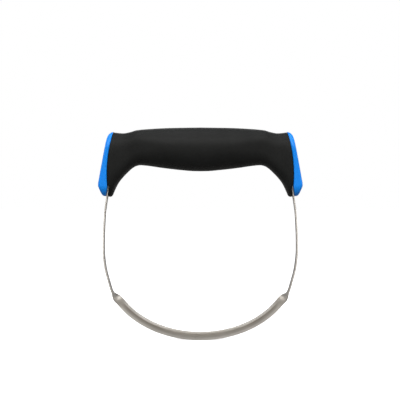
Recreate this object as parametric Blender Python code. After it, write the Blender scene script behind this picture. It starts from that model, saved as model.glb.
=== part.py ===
"""Pastry blender: a one-piece stainless band with five twisted blades, screwed to a rigid
handle core that carries a soft moulded sleeve, with a snap-in plastic cap over each end.

Frame: metres, +Z up, origin at the lowest point of the blades, X along the handle,
front towards -Y, left towards -X.  The object is symmetric about X = 0 and, but for the
fine details of the twist and screws, about Y = 0.  All the constants are millimetres
unless a comment says otherwise.
"""
import bpy
import bmesh
import math
import numpy as np

MM = 0.001
SIDES = {"left": -1, "right": 1}

# ---- shared dimensions -------------------------------------------------------------------
GAP = 0.30                  # clearance between neighbouring pieces

# stainless band
BLADE_COUNT = 5
BLADE_WIDTH = 4.35
BAND_THICKNESS = 0.80
BAND_WIDTH_FOOT = 29.0      # across the blades
BAND_WIDTH_TOP = 20.0       # under the caps
BLADE_ARC_A = 57.5          # half-axes of the elliptical arc that the blades follow
BLADE_ARC_B = 43.8
BLADE_ARC_END = 49.6        # X where the arc hands over to the arm
BLADE_PITCH = (BAND_WIDTH_FOOT - BLADE_WIDTH) / (BLADE_COUNT - 1)
BLADE_YS = [(i - (BLADE_COUNT - 1) / 2) * BLADE_PITCH for i in range(BLADE_COUNT)]
SLOT_RADIUS = (BLADE_PITCH - BLADE_WIDTH) / 2   # round upper end of each slot
SLOT_ROOT = 0.88 * SLOT_RADIUS                  # extra half-width where a strip begins
# arm centre-line from the blades up to the handle (X, Z)
ARM_LINE = [(BLADE_ARC_END, 23.85), (52.3, 26.3), (54.2, 28.9), (55.2, 31.5), (56.7, 36.8),
            (58.0, 41.2), (59.2, 47.8), (59.85, 55.4), (59.8, 63.0), (59.45, 71.5),
            (58.95, 79.5), (58.3, 84.5), (57.35, 90.6), (56.75, 94.8)]
ARM_RUN_ON = (56.55, 96.4)  # one point further up, for the parts that clear the arm
TWIST_START = (54.9, 30.6)  # strips are still flat here (X, Z)
TWIST_END = (49.5, 23.7)    # strips stand on edge from here on (X, Z)
TAB_TOP_Z = 120.4
TAB_CORNER = 4.0

# end faces of the handle: part of a cylinder, axis parallel to Y
END_X = 57.55               # outermost X of that cylinder
END_Z = 102.1               # height of that point
END_RADIUS = 89.3
RIM_Z = 95.3                # the sleeve's rim ends here, the arm is bare below
BAND_SEAT = GAP / 2 + BAND_THICKNESS + GAP      # end face back to the seat behind the band

# sleeve: top and bottom contours (X, Z), half-depth (X, Y)
GRIP_TOP = [(0.0, 131.5), (18.6, 131.2), (30.5, 130.6), (39.5, 129.75), (43.8, 128.5),
            (47.8, 127.85), (53.8, 128.4)]
GRIP_BOTTOM = [(0.0, 104.35), (4.0, 104.42), (12.4, 105.1), (24.0, 106.45), (33.5, 107.8),
               (37.3, 108.1), (39.9, 107.5), (42.4, 106.0), (45.2, 103.4), (47.9, 100.6),
               (50.5, 97.3), (52.4, 93.8), (53.7, 90.8), (54.5, 89.1), (55.5, 88.45),
               (57.0, 88.7)]
GRIP_HALF_DEPTH = [(0.0, 14.6), (40.0, 14.1), (47.0, 14.0), (53.7, 14.75), (60.0, 14.8)]

# superelliptic cross-sections: exponents, and the X range in which they change
SECTION_POWER_MIDDLE = 2.35
SECTION_POWER_END = 3.8
SECTION_CHANGE_X = 18.0
SECTION_CHANGE_LENGTH = 34.0

# screws
SCREW_Z = {"upper": 116.0, "lower": 106.8}
SCREW_LENGTH = 8.0
SCREW_CORE_R = 1.15
SCREW_THREAD_R = 1.45
SCREW_HOLE_R = SCREW_THREAD_R + GAP
SCREW_HOLE_SEGMENTS = 16
SCREW_HEAD_R = 2.8
SCREW_HEAD_H = 1.8
SCREW_HEAD_BASE = GAP / 2   # underside of the head, out from the tab's outer face

# snap prongs of the caps
PRONG_Y = 6.15
PRONG_Z = 111.4
PRONG_W = 2.4
PRONG_H = 4.2
PRONG_REACH = 8.0           # from the handle's end face inwards


# ---- curves ------------------------------------------------------------------------------
def monotone(points):
    """Smooth curve through (x, y) points without overshoot, constant beyond the ends."""
    knots = np.array([p[0] for p in points], float)
    values = np.array([p[1] for p in points], float)
    spans = np.diff(knots)
    chords = np.diff(values) / spans
    slopes = np.zeros(len(knots))
    slopes[0], slopes[-1] = chords[0], chords[-1]
    for i in range(1, len(knots) - 1):
        if chords[i - 1] * chords[i] > 0:
            weight_a = 2 * spans[i] + spans[i - 1]
            weight_b = spans[i] + 2 * spans[i - 1]
            slopes[i] = (weight_a + weight_b) / (weight_a / chords[i - 1]
                                                 + weight_b / chords[i])

    def curve(x):
        x = min(max(x, knots[0]), knots[-1])
        i = int(min(max(np.searchsorted(knots, x) - 1, 0), len(spans) - 1))
        t = (x - knots[i]) / spans[i]
        return ((1 + 2 * t) * (1 - t) ** 2 * values[i]
                + t * (1 - t) ** 2 * spans[i] * slopes[i]
                + t * t * (3 - 2 * t) * values[i + 1]
                + t * t * (t - 1) * spans[i] * slopes[i + 1])
    return curve


def lengths_along(points):
    """Distance of each point from the first, along the polyline."""
    return np.concatenate([[0.0], np.cumsum(np.hypot(*np.diff(points, axis=0).T))])


def path(points):
    """Smooth (X, Z) curve through points as a function of chord length, and its length."""
    points = np.array(points, float)
    lengths = lengths_along(points)
    x_curve = monotone(list(zip(lengths, points[:, 0])))
    z_curve = monotone(list(zip(lengths, points[:, 1])))
    return (lambda s: (x_curve(s), z_curve(s))), lengths[-1]


def smooth_step(t):
    t = min(max(t, 0.0), 1.0)
    return t * t * (3 - 2 * t)


def corner_setback(radius, distance):
    """How far a rounded corner stands back from the side, at a distance from its end."""
    return radius - math.sqrt(max(radius ** 2 - max(radius - distance, 0.0) ** 2, 0.0))


def end_x(z):
    """X of the handle's end face at height z."""
    return END_X - (z - END_Z) ** 2 / (2 * END_RADIUS)


def end_normal(z):
    """Outward normal (X, Z) of the right end face."""
    slope = -(z - END_Z) / END_RADIUS
    length = math.hypot(1.0, slope)
    return 1.0 / length, -slope / length


def end_point(z, side, out, across, up):
    """Point given in the frame of the tab's outer face at height z."""
    normal_x, normal_z = end_normal(z)
    x = end_x(z) - GAP / 2 * normal_x + out * normal_x - up * normal_z
    return side * x, across, z - GAP / 2 * normal_z + out * normal_z + up * normal_x


def arm_x_curve(count):
    """X of the arm's centre-line by height, through its top points."""
    return monotone([(z, x) for x, z in ARM_LINE[-count:] + [ARM_RUN_ON]])


def section_power(x):
    change = smooth_step((x - SECTION_CHANGE_X) / SECTION_CHANGE_LENGTH)
    return SECTION_POWER_MIDDLE + (SECTION_POWER_END - SECTION_POWER_MIDDLE) * change


def super_point(angle, power):
    """(across, up) on the unit superellipse, angle counted from the top."""
    across, up = math.sin(angle), math.cos(angle)
    return (math.copysign(abs(across) ** (2 / power), across),
            math.copysign(abs(up) ** (2 / power), up))


def super_ring(count, power):
    return [super_point(2 * math.pi * i / count, power) for i in range(count)]


# ---- meshes ------------------------------------------------------------------------------
def solid(name, verts, faces, material=None):
    """Object from vertices in mm, with all the normals facing out."""
    mesh = bpy.data.meshes.new(name)
    mesh.from_pydata([tuple(MM * c for c in v) for v in verts], [], faces)
    mesh.validate()
    ob = bpy.data.objects.new(name, mesh)
    bpy.context.scene.collection.objects.link(ob)
    if material is not None:
        mesh.materials.append(material)
    bm = bmesh.new()
    bm.from_mesh(mesh)
    bmesh.ops.recalc_face_normals(bm, faces=bm.faces)
    bm.to_mesh(mesh)
    bm.free()
    return ob


def loft(name, rings, material=None, strips=False):
    """Closed solid through rings that have the same number of points.  With strips, each end
    is closed by bands across Y between the two points at equal height."""
    n = len(rings[0])
    verts = [p for ring in rings for p in ring]
    faces = []
    for k in range(len(rings) - 1):
        for i in range(n):
            j = (i + 1) % n
            faces.append((k * n + i, k * n + j, (k + 1) * n + j, (k + 1) * n + i))
    last = (len(rings) - 1) * n
    if strips:
        for i in range(n // 2):
            across = [i, i + 1, (n - i - 1) % n, (n - i) % n]
            if i == 0:
                across = across[:3]
            elif across[1] == across[2]:
                across.pop(2)
            faces.append(tuple(across[::-1]))
            faces.append(tuple(last + q for q in across))
    else:
        faces.append(tuple(range(n))[::-1])
        faces.append(tuple(last + i for i in range(n)))
    return solid(name, verts, faces, material)


def boolean(ob, tool, operation='DIFFERENCE'):
    """Apply one exact boolean and remove the tool object."""
    tool.hide_render = True
    mod = ob.modifiers.new(operation.lower(), 'BOOLEAN')
    mod.object = tool
    mod.operation = operation
    mod.solver = 'EXACT'
    bpy.context.view_layer.update()
    depsgraph = bpy.context.evaluated_depsgraph_get()
    result = bpy.data.meshes.new_from_object(ob.evaluated_get(depsgraph))
    ob.modifiers.clear()
    old = ob.data
    result.name = old.name + "_cut"
    ob.data = result
    bpy.data.meshes.remove(old)
    bpy.data.objects.remove(tool)


def smooth(ob, angle):
    """Shade smooth, with edges sharper than the angle (degrees) kept sharp."""
    for face in ob.data.polygons:
        face.use_smooth = True
    ob.data.set_sharp_from_angle(angle=math.radians(angle))


def lathe(name, profile, z, side, segments, material=None):
    """Solid of revolution about the end face's normal at height z.
    The profile is (distance along the outward normal, radius)."""
    angles = [2 * math.pi * (i + 0.5) / segments for i in range(segments)]
    rings = [[end_point(z, side, out, radius * math.cos(a), radius * math.sin(a))
              for a in angles] for out, radius in profile]
    return loft(name, rings, material)


def cylinder(name, z, side, start, end, radius, segments):
    """Cylinder along the end face's normal at height z."""
    return lathe(name, [(start, radius), (end, radius)], z, side, segments)


def tilted_box(name, z, side, start, end, half_across, half_up, y=0.0):
    """Box along the end face's normal at height z, centred on y."""
    corners = ((-1, -1), (1, -1), (1, 1), (-1, 1))
    rings = [[end_point(z, side, out, y + u * half_across, v * half_up)
              for u, v in corners] for out in (start, end)]
    return loft(name, rings)


# ---- materials ---------------------------------------------------------------------------
def make_material(name, colour, roughness, metallic=0.0):
    material = bpy.data.materials.new(name)
    material.use_nodes = True
    inputs = material.node_tree.nodes["Principled BSDF"].inputs
    inputs["Base Color"].default_value = (*colour, 1.0)
    inputs["Roughness"].default_value = roughness
    inputs["Metallic"].default_value = metallic
    return material


def black_soft_plastic():
    return make_material("black_soft_plastic", colour=(0.0100, 0.0105, 0.0105), roughness=0.62)


def grey_core_plastic():
    return make_material("grey_core_plastic", colour=(0.10, 0.10, 0.11), roughness=0.50)


def blue_plastic():
    return make_material("blue_plastic", colour=(0.004, 0.235, 0.760), roughness=0.30)


def stainless_steel():
    return make_material("stainless_steel", colour=(0.56, 0.55, 0.52), roughness=0.28,
                         metallic=1.0)


def zinc_plated_steel():
    return make_material("zinc_plated_steel", colour=(0.62, 0.62, 0.60), roughness=0.35,
                         metallic=1.0)


# ---- handle core -------------------------------------------------------------------------
CORE_TOP_WALL = 2.6         # sleeve thickness over the core
CORE_DEPTH_WALL = 2.6       # sleeve thickness at the front and back
CORE_BOTTOM = [(0.0, 107.1), (24.0, 109.3), (35.0, 110.7), (40.0, 110.3), (45.0, 107.2),
               (50.0, 102.5), (53.5, 99.0), (57.0, 96.7), (61.0, 94.4)]    # (X, Z)
CORE_TOP_GUIDE = GRIP_TOP + [(60.0, 128.7)]     # sleeve's top run on past its end
CORE_HALF_STATIONS = 10
CORE_RING_POINTS = 24
CORE_UPRIGHT_SHARE = 0.45   # share of the half-length before stations bend to the end curve
CORE_SECTION_INSET = 1.0    # the last section is sampled this far inside END_X
HOLLOW_RUN_OUT = 6.0        # the hollow runs on by this much past the core's ends

CORE_WALL = 2.2
CORE_WEB_HALF = 1.5
BOSS_RADIUS = 3.7
POCKET_START = 3.0          # X where each pocket begins, leaves a cross wall in the middle
POCKET_END = 62.0
POCKET_LEG_X = 40.0         # from here on the floor is thicker, by the factor below
POCKET_LEG_FACTOR = 1.35
POCKET_STATIONS = 6
POCKET_ARC_STEPS = 9
POCKET_ARC_START = 0.06     # part of the half section that the pocket follows, 0 to 1
POCKET_ARC_SHARE = 0.88
POCKET_MIN_DEPTH = 1.0      # outer side stays this far from the web
BOSS_SIDE_GAP = 1.5         # bosses stay this far from the pocket's outer side
# contours run on past the handle's end
POCKET_TOP_GUIDE = CORE_TOP_GUIDE + [(70.0, 128.8)]
POCKET_BOTTOM_GUIDE = CORE_BOTTOM + [(70.0, 91.4)]
POCKET_DEPTH_GUIDE = GRIP_HALF_DEPTH + [(70.0, 14.8)]
PILOT_EXTRA_DEPTH = 2.2
PILOT_OUTER_END = 3.0


def core_shape(name, offset=0.0, material=None):
    """Body of the core; with a positive offset it is the hollow that the core sits in,
    which runs on through the sleeve's open ends."""
    top_curve = monotone(CORE_TOP_GUIDE)
    bottom_curve = monotone(CORE_BOTTOM)
    depth_curve = monotone(GRIP_HALF_DEPTH)
    rings = []
    for k in range(-CORE_HALF_STATIONS, CORE_HALF_STATIONS + 1):
        share = abs(k) / CORE_HALF_STATIONS
        side = -1 if k < 0 else 1
        # upright stations in the middle, the end stations follow the end curve
        bulge = smooth_step((share - CORE_UPRIGHT_SHARE) / (1 - CORE_UPRIGHT_SHARE))
        station_x = share * (END_X - CORE_SECTION_INSET)
        station_top = top_curve(station_x) - CORE_TOP_WALL
        station_bottom = bottom_curve(station_x)
        ring = []
        for across, up in super_ring(CORE_RING_POINTS, section_power(station_x)):
            z_guess = (station_top + station_bottom) / 2 + (station_top - station_bottom) / 2 * up
            x = share * ((1 - bulge) * (END_X - BAND_SEAT)
                         + bulge * (end_x(z_guess) - BAND_SEAT))
            # heights follow the contours at the point's own x
            top = top_curve(x) - CORE_TOP_WALL + offset
            bottom = bottom_curve(x) - offset
            ring.append((side * x, across * (depth_curve(x) - CORE_DEPTH_WALL + offset),
                         (top + bottom) / 2 + (top - bottom) / 2 * up))
        rings.append(ring)
    if offset > 0:
        rings.insert(0, [(x - HOLLOW_RUN_OUT, y, z) for x, y, z in rings[0]])
        rings.append([(x + HOLLOW_RUN_OUT, y, z) for x, y, z in rings[-1]])
    return loft(name, rings, material, strips=True)


def core_pocket(x_side, y_side):
    """Hollow on one side of the central web, open at the handle's end."""
    top_curve = monotone(POCKET_TOP_GUIDE)
    bottom_curve = monotone(POCKET_BOTTOM_GUIDE)
    depth_curve = monotone(POCKET_DEPTH_GUIDE)
    rings = []
    for k in range(POCKET_STATIONS + 1):
        x = POCKET_START + (POCKET_END - POCKET_START) * k / POCKET_STATIONS
        top = top_curve(x) - CORE_TOP_WALL - CORE_WALL
        floor_factor = 1.0 if x < POCKET_LEG_X else POCKET_LEG_FACTOR
        bottom = bottom_curve(x) + CORE_WALL * floor_factor
        depth = depth_curve(x) - CORE_DEPTH_WALL - CORE_WALL
        ring = []
        # outer side, from the top down
        for i in range(POCKET_ARC_STEPS + 1):
            angle = math.pi * (POCKET_ARC_START + POCKET_ARC_SHARE * i / POCKET_ARC_STEPS)
            across, up = super_point(angle, section_power(x))
            y = max(depth * across, CORE_WEB_HALF + POCKET_MIN_DEPTH)
            ring.append((x_side * x, y_side * y, (top + bottom) / 2 + (top - bottom) / 2 * up))
        # along the web and round the screw bosses, back up
        z_first, z_last = ring[0][2], ring[-1][2]
        for i in range(POCKET_ARC_STEPS + 1):
            z = z_last + (z_first - z_last) * i / POCKET_ARC_STEPS
            y = CORE_WEB_HALF
            for screw_z in SCREW_Z.values():
                if abs(z - screw_z) < BOSS_RADIUS:
                    y = max(y, math.sqrt(BOSS_RADIUS ** 2 - (z - screw_z) ** 2))
            ring.append((x_side * x, y_side * min(y, depth - BOSS_SIDE_GAP), z))
        rings.append(ring)
    return loft("pocket", rings)


def handle_core(material):
    core = core_shape("handle_core", material=material)
    for side in SIDES.values():
        for y_side in (-1, 1):
            boolean(core, core_pocket(side, y_side))
        for z in SCREW_Z.values():
            boolean(core, cylinder("pilot", z, side, -SCREW_LENGTH - PILOT_EXTRA_DEPTH,
                                   PILOT_OUTER_END, SCREW_HOLE_R, SCREW_HOLE_SEGMENTS))
    smooth(core, 35)


# ---- soft sleeve -------------------------------------------------------------------------
GRIP_HALF_STATIONS = 20
GRIP_RING_POINTS = 28
GRIP_BELLY_SHARE = 0.60     # share of the stations that stand upright over the belly
GRIP_BELLY_X = 36.0         # the belly ends where the bottom contour passes this X
GRIP_BELLY_SAMPLES = 2000
GRIP_TOP_SPACING = 0.9      # exponent that spaces the end stations along the top
GRIP_BULGE_POWER = 1.6      # exponent with which they take up the end curve
GRIP_SECTION_LEAD = 3.0     # their section is taken up to this far ahead

SEAT_OUTER_X = 66.0         # the seat cutters reach out to here
TAB_SEAT_TOP_GAP = 0.8
TAB_SEAT_SIDE_GAP = 0.35
TAB_SEAT_RIM_OVERLAP = 1.5
TAB_SEAT_POINTS = 12
ARM_SEAT_BOTTOM_Z = 82.0
ARM_SEAT_HALF_WIDTH = 20.0
ARM_SEAT_POINTS = 10


def grip_end(z):
    """End curve of the sleeve, and of its leg below the rim."""
    if z >= RIM_Z:
        return end_x(z) - GAP / 2
    foot_x, foot_z = GRIP_BOTTOM[-1]
    t = (RIM_Z - z) / (RIM_Z - foot_z)
    return (end_x(RIM_Z) - GAP / 2) * (1 - t) + foot_x * t


def grip_ring(top, bottom, bulge, depth, power, side):
    """One closed ring between a top and a bottom point; bulge 1 follows the end curve."""
    ring = []
    top_end, bottom_end = grip_end(top[1]), grip_end(bottom[1])
    for across, up in super_ring(GRIP_RING_POINTS, power):
        drop = (1 - up) / 2
        z = top[1] + (bottom[1] - top[1]) * drop
        x = top[0] + (bottom[0] - top[0]) * drop
        x += bulge * (grip_end(z) - (top_end + (bottom_end - top_end) * drop))
        ring.append((side * x, across * depth, z))
    return ring


def grip_outer(material):
    """Outer shape of the sleeve, filled."""
    top_curve = monotone(GRIP_TOP)
    depth_curve = monotone(GRIP_HALF_DEPTH)
    bottom_path, bottom_length = path(GRIP_BOTTOM)
    belly_length = next(s for s in np.linspace(0, bottom_length, GRIP_BELLY_SAMPLES)
                        if bottom_path(s)[0] > GRIP_BELLY_X)
    belly_x = bottom_path(belly_length)[0]
    top_end_x = GRIP_TOP[-1][0] - GAP / 2
    half = []
    for k in range(GRIP_HALF_STATIONS + 1):
        share = k / GRIP_HALF_STATIONS
        if share <= GRIP_BELLY_SHARE:
            bottom = bottom_path(belly_length * (share / GRIP_BELLY_SHARE))
            x = bottom[0]
            bulge = 0.0
        else:
            t = (share - GRIP_BELLY_SHARE) / (1 - GRIP_BELLY_SHARE)
            bottom = bottom_path(belly_length + (bottom_length - belly_length) * t)
            x = belly_x + (top_end_x - belly_x) * t ** GRIP_TOP_SPACING
            bulge = t ** GRIP_BULGE_POWER
        half.append(((x, top_curve(x)), bottom, bulge, depth_curve(x),
                     section_power(x + GRIP_SECTION_LEAD * bulge)))
    rings = [grip_ring(*station, side=-1) for station in half[::-1]]
    rings += [grip_ring(*station, side=1) for station in half[1:]]
    return loft("soft_grip", rings, material, strips=True)


def seat_cutter(name, side, inner_x, heights, half_width):
    """Block from the inner_x(z) curve out past the sleeve's end."""
    outline = [(inner_x(z), z) for z in heights]
    outline += [(SEAT_OUTER_X, heights[-1]), (SEAT_OUTER_X, heights[0])]
    return loft(name, [[(side * x, y, z) for x, z in outline]
                       for y in (-half_width, half_width)])


def soft_grip(material):
    """Outer shape, less the core's hollow and the seats of the tabs and arms."""
    grip = grip_outer(material)
    boolean(grip, core_shape("hollow", offset=GAP))
    arm_x = arm_x_curve(4)
    tab_heights = np.linspace(TAB_TOP_Z + TAB_SEAT_TOP_GAP, RIM_Z - TAB_SEAT_RIM_OVERLAP,
                              TAB_SEAT_POINTS)
    arm_heights = np.linspace(RIM_Z, ARM_SEAT_BOTTOM_Z, ARM_SEAT_POINTS)
    for side in SIDES.values():
        boolean(grip, seat_cutter("tab_seat", side, lambda z: end_x(z) - BAND_SEAT,
                                  tab_heights, BAND_WIDTH_TOP / 2 + TAB_SEAT_SIDE_GAP))
        boolean(grip, seat_cutter("arm_seat", side,
                                  lambda z: arm_x(z) - BAND_THICKNESS / 2 - GAP,
                                  arm_heights, ARM_SEAT_HALF_WIDTH))
    smooth(grip, 40)


# ---- band --------------------------------------------------------------------------------
TAB_LINE_POINTS = 13
TAB_LINE_END_Z = RIM_Z + 1.0
ARM_LINE_STEPS = 60
BLADE_LINE_STEPS = 48
TRACK_SMOOTHING_PASSES = 3
TANGENT_REACH = 0.35        # the direction is taken over this length each way
TRACK_LEVEL_END = 0.4       # the last stretch at X = 0 counts as level

WIDENING_START = 26.0       # length from the tab's top where the band starts to widen
TAB_CORNER_STOPS = [0.0, 0.35, 0.9, 1.7, 2.7]   # lengths of the rows round the tab corners
ARM_ROWS = 11
SLOT_ROWS = 3               # round the end of each slot
TWIST_ROWS = 6
BLADE_ROWS = 15

HOLE_REACH = (-3.0, 2.0)    # inner and outer end of the cutters through the tabs
WINDOW_GAP_ACROSS = 0.55
WINDOW_GAP_UP = 0.9
WINDOW_SHIFT = 0.1          # windows sit this much further out in Y than the prongs


def band_centre():
    """Right half of the band's centre-line, from the tab's top to the bottom centre."""
    points = []
    middle = GAP / 2 + BAND_THICKNESS / 2
    for z in np.linspace(TAB_TOP_Z, TAB_LINE_END_Z, TAB_LINE_POINTS):
        normal_x, normal_z = end_normal(z)
        points.append((end_x(z) - middle * normal_x, z - middle * normal_z))
    arm, arm_length = path(ARM_LINE[::-1])
    for k in range(1, ARM_LINE_STEPS + 1):
        points.append(arm(arm_length * k / ARM_LINE_STEPS))
    arc_angle = math.asin(BLADE_ARC_END / BLADE_ARC_A)
    for k in range(1, BLADE_LINE_STEPS + 1):
        angle = arc_angle * (1 - k / BLADE_LINE_STEPS)
        points.append((BLADE_ARC_A * math.sin(angle),
                       BLADE_WIDTH / 2 + BLADE_ARC_B * (1 - math.cos(angle))))
    return np.array(points)


class Track:
    """The band's centre-line by length, with the lengths where its shape changes."""

    def __init__(self):
        points = band_centre()
        for _ in range(TRACK_SMOOTHING_PASSES):     # keeps the bends soft
            points[1:-1] = 0.25 * points[:-2] + 0.5 * points[1:-1] + 0.25 * points[2:]
        self.points = points
        self.lengths = lengths_along(points)
        self.length = self.lengths[-1]
        self.bend = self.nearest(ARM_LINE[-1])      # where the arm leaves the handle
        self.twist_start = self.nearest(TWIST_START)
        self.twist_end = self.nearest(TWIST_END)

    def at(self, s):
        return (float(np.interp(s, self.lengths, self.points[:, 0])),
                float(np.interp(s, self.lengths, self.points[:, 1])))

    def normal(self, s):
        """Outward normal (X, Z)."""
        if s > self.length - TRACK_LEVEL_END:
            return 0.0, -1.0
        x0, z0 = self.at(max(s - TANGENT_REACH, 0.0))
        x1, z1 = self.at(min(s + TANGENT_REACH, self.length))
        length = math.hypot(x1 - x0, z1 - z0)
        return -(z1 - z0) / length, (x1 - x0) / length

    def nearest(self, point):
        distances = np.hypot(self.points[:, 0] - point[0], self.points[:, 1] - point[1])
        return float(self.lengths[int(np.argmin(distances))])


def strip_edges(track, s):
    """Y of the strip edges at this length, in order; the outer two are the band's edges."""
    t = smooth_step((s - WIDENING_START) / (track.twist_start - WIDENING_START))
    scale = (BAND_WIDTH_TOP + (BAND_WIDTH_FOOT - BAND_WIDTH_TOP) * t) / BAND_WIDTH_FOOT
    edges = []
    for i, y in enumerate(BLADE_YS):
        edges += [(y - BLADE_WIDTH / 2 - (SLOT_ROOT if i > 0 else 0.0)) * scale,
                  (y + BLADE_WIDTH / 2 + (SLOT_ROOT if i < BLADE_COUNT - 1 else 0.0)) * scale]
    scale = 1.0 - corner_setback(TAB_CORNER, s) / edges[-1]
    return [y * scale for y in edges]


def add_sheet(verts, faces, track, side):
    """Tab and arm of one side.  Returns the (outer, inner) vertex pairs of the last row."""
    half = BAND_THICKNESS / 2
    bend = track.bend
    stops = TAB_CORNER_STOPS + list(np.linspace(TAB_CORNER, bend - 3.0, 6))
    stops += list(np.linspace(bend - 1.8, bend + 3.0, 6))       # closer rows over the bend
    stops += list(np.linspace(bend + 5.0, track.twist_start, ARM_ROWS))
    rows = []
    for s in stops:
        x, z = track.at(s)
        normal_x, normal_z = track.normal(s)
        row = []
        for y in strip_edges(track, s):
            row.append((len(verts), len(verts) + 1))
            for offset in (half, -half):
                verts.append((side * (x + normal_x * offset), y, z + normal_z * offset))
        rows.append(row)
    n = len(rows[0])
    for a, b in zip(rows[:-1], rows[1:]):
        for j in range(n - 1):
            faces.append((a[j][0], a[j + 1][0], b[j + 1][0], b[j][0]))
            faces.append((a[j][1], b[j][1], b[j + 1][1], a[j + 1][1]))
        faces.append((a[0][0], b[0][0], b[0][1], a[0][1]))
        faces.append((a[-1][0], a[-1][1], b[-1][1], b[-1][0]))
    top, foot = rows[0], rows[-1]
    for j in range(n - 1):
        faces.append((top[j][0], top[j][1], top[j + 1][1], top[j + 1][0]))
    for j in range(1, n - 1, 2):                # ends of the slots between the strips
        faces.append((foot[j][0], foot[j + 1][0], foot[j + 1][1], foot[j][1]))
    return foot


def strip_section(track, s, index, side):
    """Four corners of one strip, which turns from flat to on edge through the twist."""
    x, z = track.at(s)
    normal_x, normal_z = track.normal(s)
    below_root = s - track.twist_start
    turn = smooth_step((below_root - SLOT_RADIUS)
                       / (track.twist_end - track.twist_start - SLOT_RADIUS))
    cos_turn, sin_turn = math.cos(math.pi / 2 * turn), math.sin(math.pi / 2 * turn)
    # width direction turns from Y to the in-plane normal
    wide = (-sin_turn * normal_x, cos_turn, -sin_turn * normal_z)
    thin = (cos_turn * normal_x, sin_turn, cos_turn * normal_z)
    flare = min(corner_setback(SLOT_RADIUS, below_root), SLOT_ROOT)
    corners = []
    for u, v in ((-1, 1), (1, 1), (1, -1), (-1, -1)):
        free = (index == 0 and u < 0) or (index == BLADE_COUNT - 1 and u > 0)
        half_width = BLADE_WIDTH / 2 + (0.0 if free else flare)
        dx, dy, dz = [u * half_width * w + v * BAND_THICKNESS / 2 * t
                      for w, t in zip(wide, thin)]
        corners.append((side * (x + dx), BLADE_YS[index] + dy, z + dz))
    return corners


def add_strips(verts, faces, track, side, foot, centre):
    """Strips of one side, from the foot of its arm to the bottom centre.  The first side
    fills the list of centre sections, and the second joins on to them."""
    joining = bool(centre)
    start, twist_end = track.twist_start, track.twist_end
    stops = [start + SLOT_RADIUS * (1 - math.cos(math.pi / 2 * k / SLOT_ROWS))
             for k in range(1, SLOT_ROWS + 1)]
    stops += list(np.linspace(start + SLOT_RADIUS, twist_end, TWIST_ROWS + 1)[1:])
    stops += list(np.linspace(twist_end, track.length, BLADE_ROWS + 1)[1:])
    sections = []
    for (outer_a, inner_a), (outer_b, inner_b) in zip(foot[::2], foot[1::2]):
        sections.append([outer_a, outer_b, inner_b, inner_a])
    for k, s in enumerate(stops):
        for i in range(BLADE_COUNT):
            if joining and k == len(stops) - 1:
                ids = centre[i]
            else:
                ids = list(range(len(verts), len(verts) + 4))
                verts.extend(strip_section(track, s, i, side))
            previous = sections[i]
            for a in range(4):
                b = (a + 1) % 4
                faces.append((previous[a], previous[b], ids[b], ids[a]))
            sections[i] = ids
    if not joining:
        centre.extend(sections)


def blade_band(material):
    """Band with its screw holes and prong windows."""
    track = Track()
    verts, faces, centre = [], [], []
    for side in SIDES.values():
        foot = add_sheet(verts, faces, track, side)
        add_strips(verts, faces, track, side, foot, centre)
    band = solid("blade_band", verts, faces, material)
    for side in SIDES.values():
        for z in SCREW_Z.values():
            boolean(band, cylinder("hole", z, side, *HOLE_REACH, SCREW_HOLE_R,
                                   SCREW_HOLE_SEGMENTS))
        for y_side in (-1, 1):
            boolean(band, tilted_box("window", PRONG_Z, side, *HOLE_REACH,
                                     PRONG_W / 2 + WINDOW_GAP_ACROSS,
                                     PRONG_H / 2 + WINDOW_GAP_UP,
                                     y_side * (PRONG_Y + WINDOW_SHIFT)))
    smooth(band, 35)


# ---- screws ------------------------------------------------------------------------------
SCREW_SEGMENTS = 10
SCREW_PITCH = 1.6
SCREW_TIP_R = 0.25
SCREW_TIP_LENGTH = 1.2
SCREW_THREAD_START = 1.6    # from the tip
SCREW_THREAD_STOP = 0.9     # no turn starts closer than this to the band
# one turn of thread (distance along the screw, radius)
SCREW_THREAD = [(0.0, SCREW_CORE_R), (0.32, SCREW_THREAD_R), (0.5, SCREW_THREAD_R),
                (0.82, SCREW_CORE_R)]
# underside and rim of the head (distance from SCREW_HEAD_BASE, radius)
SCREW_HEAD_RIM = [(-0.02, SCREW_CORE_R), (0.0, SCREW_HEAD_R - 0.15), (0.25, SCREW_HEAD_R)]
SCREW_DOME_START = 0.45
SCREW_DOME_STEPS = 3
SCREW_DOME_POWER = 0.55     # exponent that makes the dome fuller than a round one
SCREW_DOME_TOP_R = 0.9
# slots of the cross recess (depth, reach above the head, half-size across, half-size up)
SCREW_RECESSES = [(1.05, 1.0, 0.42, 1.5), (0.97, 1.1, 1.45, 0.38)]


def screw(name, z, side, material):
    tip = -BAND_THICKNESS - SCREW_LENGTH
    profile = [(tip, SCREW_TIP_R), (tip + SCREW_TIP_LENGTH, SCREW_CORE_R)]
    turn = tip + SCREW_THREAD_START
    while turn < -BAND_THICKNESS - SCREW_THREAD_STOP:
        profile += [(turn + along, radius) for along, radius in SCREW_THREAD]
        turn += SCREW_PITCH
    profile += [(SCREW_HEAD_BASE + along, radius) for along, radius in SCREW_HEAD_RIM]
    for k in range(1, SCREW_DOME_STEPS + 1):
        angle = math.pi / 2 * k / SCREW_DOME_STEPS
        rise = (SCREW_HEAD_H - SCREW_DOME_START) * math.sin(angle)
        profile.append((SCREW_HEAD_BASE + SCREW_DOME_START + rise,
                        max(SCREW_HEAD_R * math.cos(angle) ** SCREW_DOME_POWER,
                            SCREW_DOME_TOP_R)))
    ob = lathe(name, profile, z, side, SCREW_SEGMENTS, material)
    head_top = SCREW_HEAD_BASE + SCREW_HEAD_H
    for depth, above, half_across, half_up in SCREW_RECESSES:
        boolean(ob, tilted_box("recess", z, side, head_top - depth, head_top + above,
                               half_across, half_up))
    smooth(ob, 35)


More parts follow.
